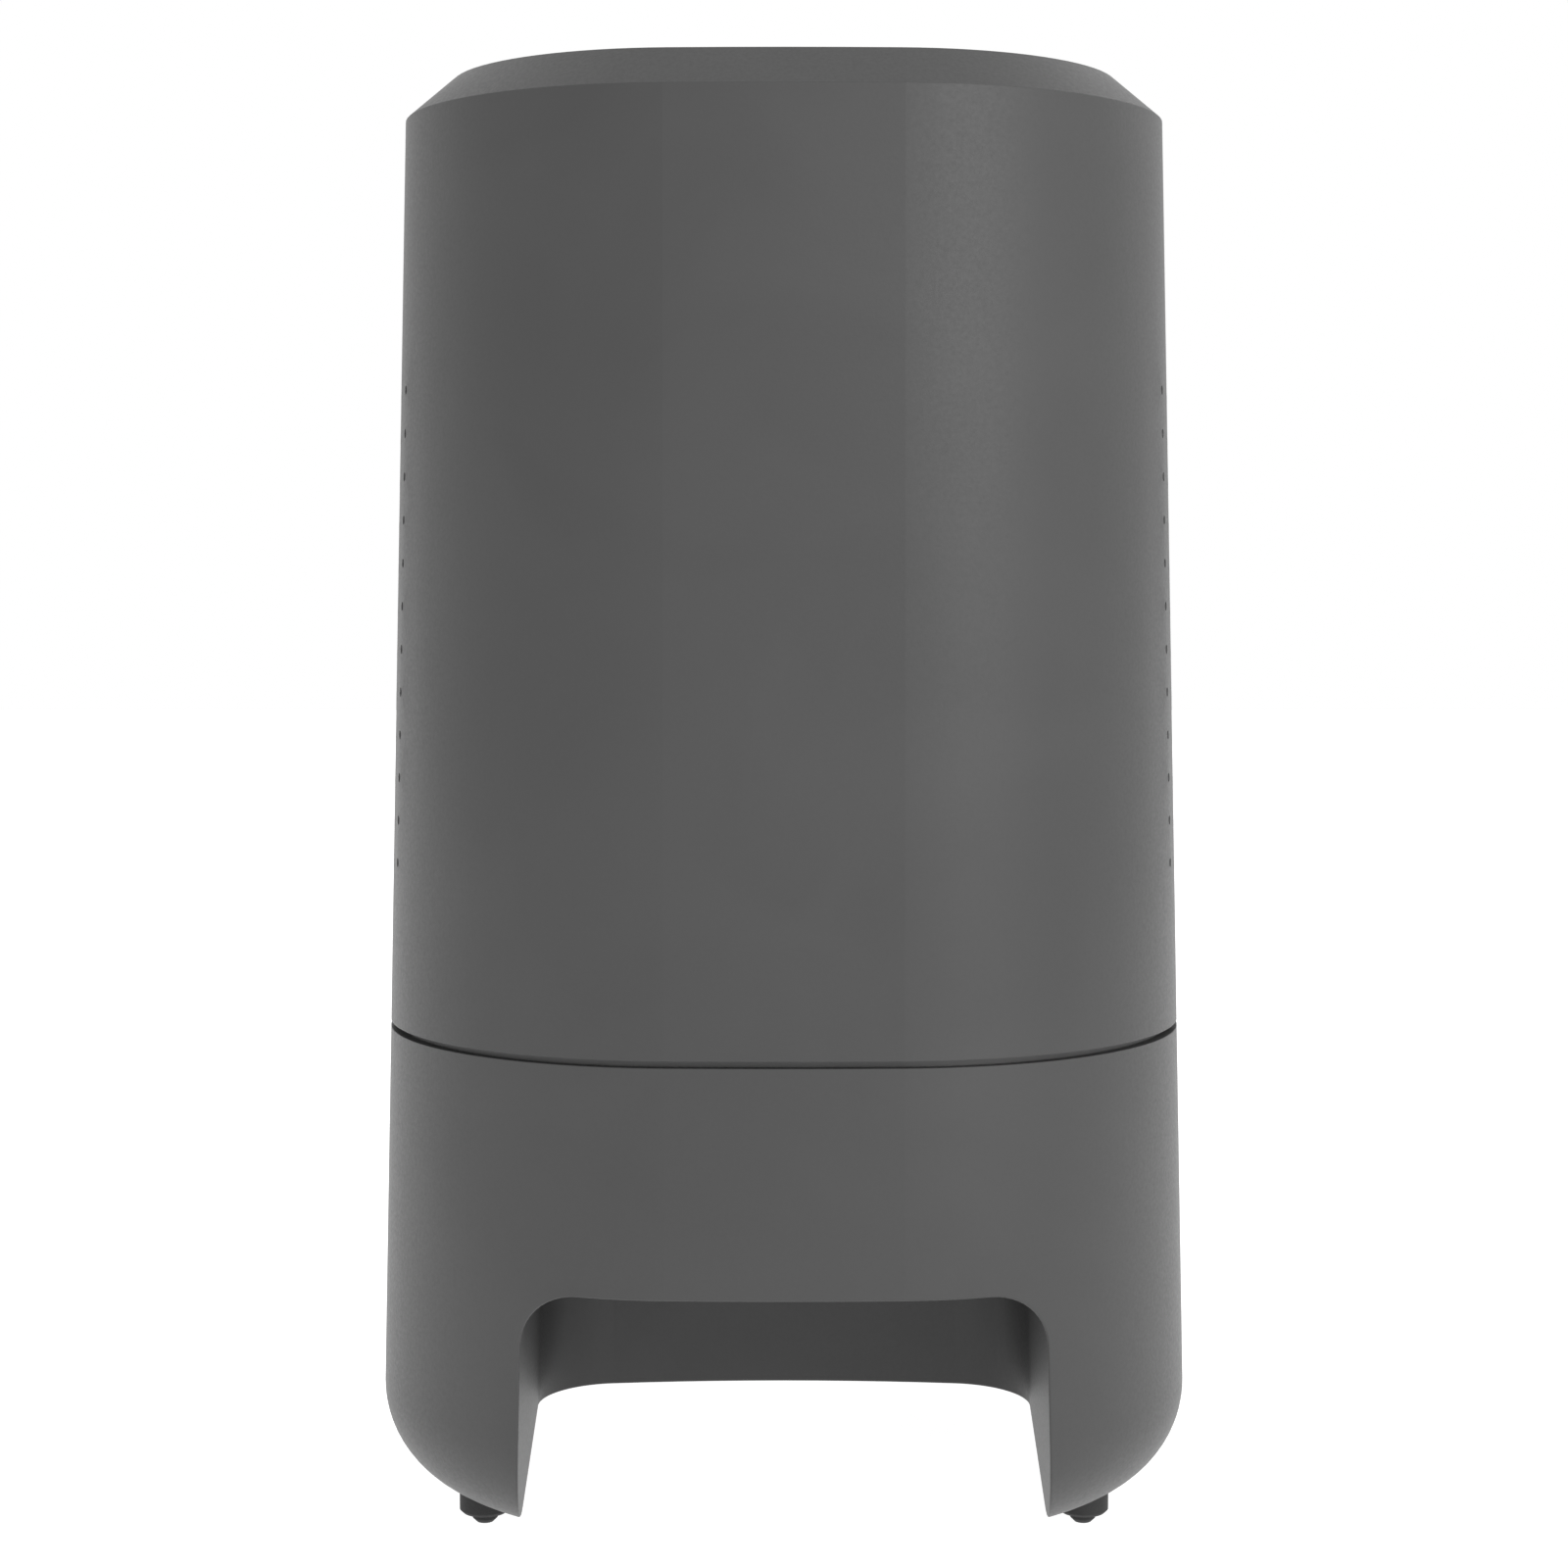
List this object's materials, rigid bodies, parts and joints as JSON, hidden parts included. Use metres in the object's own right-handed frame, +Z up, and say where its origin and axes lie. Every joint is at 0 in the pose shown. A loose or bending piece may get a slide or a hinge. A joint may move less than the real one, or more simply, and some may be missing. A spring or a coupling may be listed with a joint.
{
  "type": "dehumidifier",
  "caption": "Tapered rounded-square tower dehumidifier on rubber feet with side intake holes, an arch recess in its base, a top outlet and a rear slide-out water tank.",
  "frame": {"origin": "on the floor under the middle of the tower, at the underside of the feet", "axes": "+Z up; -Y is the plain face with the arch recess; the tank slides out along +Y; +X is the right-hand side seen from -Y"},
  "size_m": [0.2034, 0.2024, 0.3534],
  "materials": {
    "shell_plastic": "fine moulded texture, satin",
    "band_plastic": "smooth moulded",
    "panel_plastic": "fine moulded texture",
    "inner_plastic": "plain moulded",
    "filter_fabric": "woven nylon mesh",
    "foot_rubber": "matt rubber",
    "sink_aluminium": "extruded, mill finish",
    "module_ceramic": "fired alumina faces",
    "foam": "closed-cell foam",
    "bracket_steel": "zinc plated sheet",
    "screw_steel": "zinc plated",
    "fan_plastic": "glass-filled moulded",
    "lens_acrylic": "smoked acrylic",
    "display_plastic": "moulded",
    "board_laminate": "solder mask",
    "switch_plastic": "moulded",
    "contact_brass": "turned",
    "tank_plastic": "clear smoke moulded",
    "lid_plastic": "moulded",
    "float_foam": "expanded bead",
    "magnet": "nickel plated",
    "button_plastic": "satin moulded"
  },
  "bodies": {
    "housing": {"base_shell": "shell_plastic", "seam_band": "band_plastic", "upper_shell": "shell_plastic", "chassis_plate": "inner_plastic", "base_screws": "screw_steel", "shell_screws": "screw_steel", "foot_front_left": "foot_rubber", "foot_front_right": "foot_rubber", "foot_rear_left": "foot_rubber", "foot_rear_right": "foot_rubber", "drip_tray": "inner_plastic", "cold_heatsink": "sink_aluminium", "hot_heatsink": "sink_aluminium", "peltier_module": "module_ceramic", "insulation_frame": "foam", "sink_screws": "screw_steel", "stack_bracket_left": "bracket_steel", "stack_bracket_right": "bracket_steel", "fan_deck": "inner_plastic", "fan_frame": "fan_plastic", "fan_screws": "screw_steel", "outlet_duct": "inner_plastic", "filter_frame_left": "inner_plastic", "filter_frame_right": "inner_plastic", "filter_mesh_left": "filter_fabric", "filter_mesh_right": "filter_fabric", "top_panel": "panel_plastic", "display_lens": "lens_acrylic", "display_module": "display_plastic", "control_board": "board_laminate", "board_screws": "screw_steel", "tact_switches": "switch_plastic", "humidity_sensor": "board_laminate", "tank_switch": "switch_plastic", "power_inlet": "switch_plastic", "inlet_pin": "contact_brass"},
    "tank": {"water_tank": "tank_plastic", "tank_lid": "lid_plastic", "tank_face": "shell_plastic", "pour_plug": "foot_rubber", "float_pin": "screw_steel"},
    "float": {"float_block": "float_foam", "float_magnet": "magnet"},
    "rotor": {"fan_rotor": "fan_plastic"},
    "power_button": {"button_power": "button_plastic"},
    "mode_button": {"button_mode": "button_plastic"},
    "timer_button": {"button_timer": "button_plastic"}
  },
  "joints": [
    {"name": "tank_slide", "type": "slide", "parent": "housing", "child": "tank", "axis": [0, 1, 0], "range_m": [0, 0.19]},
    {"name": "float_swing", "type": "hinge", "parent": "tank", "child": "float", "pos_m": [-0.02, 0.015, 0.104], "axis": [1, 0, 0], "range_deg": [0, 12]},
    {"name": "fan_spin", "type": "hinge", "parent": "housing", "child": "rotor", "pos_m": [0, 0.014, 0.32], "axis": [0, 0, 1], "continuous": true},
    {"name": "power_press", "type": "slide", "parent": "housing", "child": "power_button", "axis": [0, 0, -1], "range_m": [0, 0.0008], "stiffness_N_per_m": 400, "springref_m": -0.001},
    {"name": "mode_press", "type": "slide", "parent": "housing", "child": "mode_button", "axis": [0, 0, -1], "range_m": [0, 0.0008], "stiffness_N_per_m": 400, "springref_m": -0.001},
    {"name": "timer_press", "type": "slide", "parent": "housing", "child": "timer_button", "axis": [0, 0, -1], "range_m": [0, 0.0008], "stiffness_N_per_m": 400, "springref_m": -0.001}
  ]
}
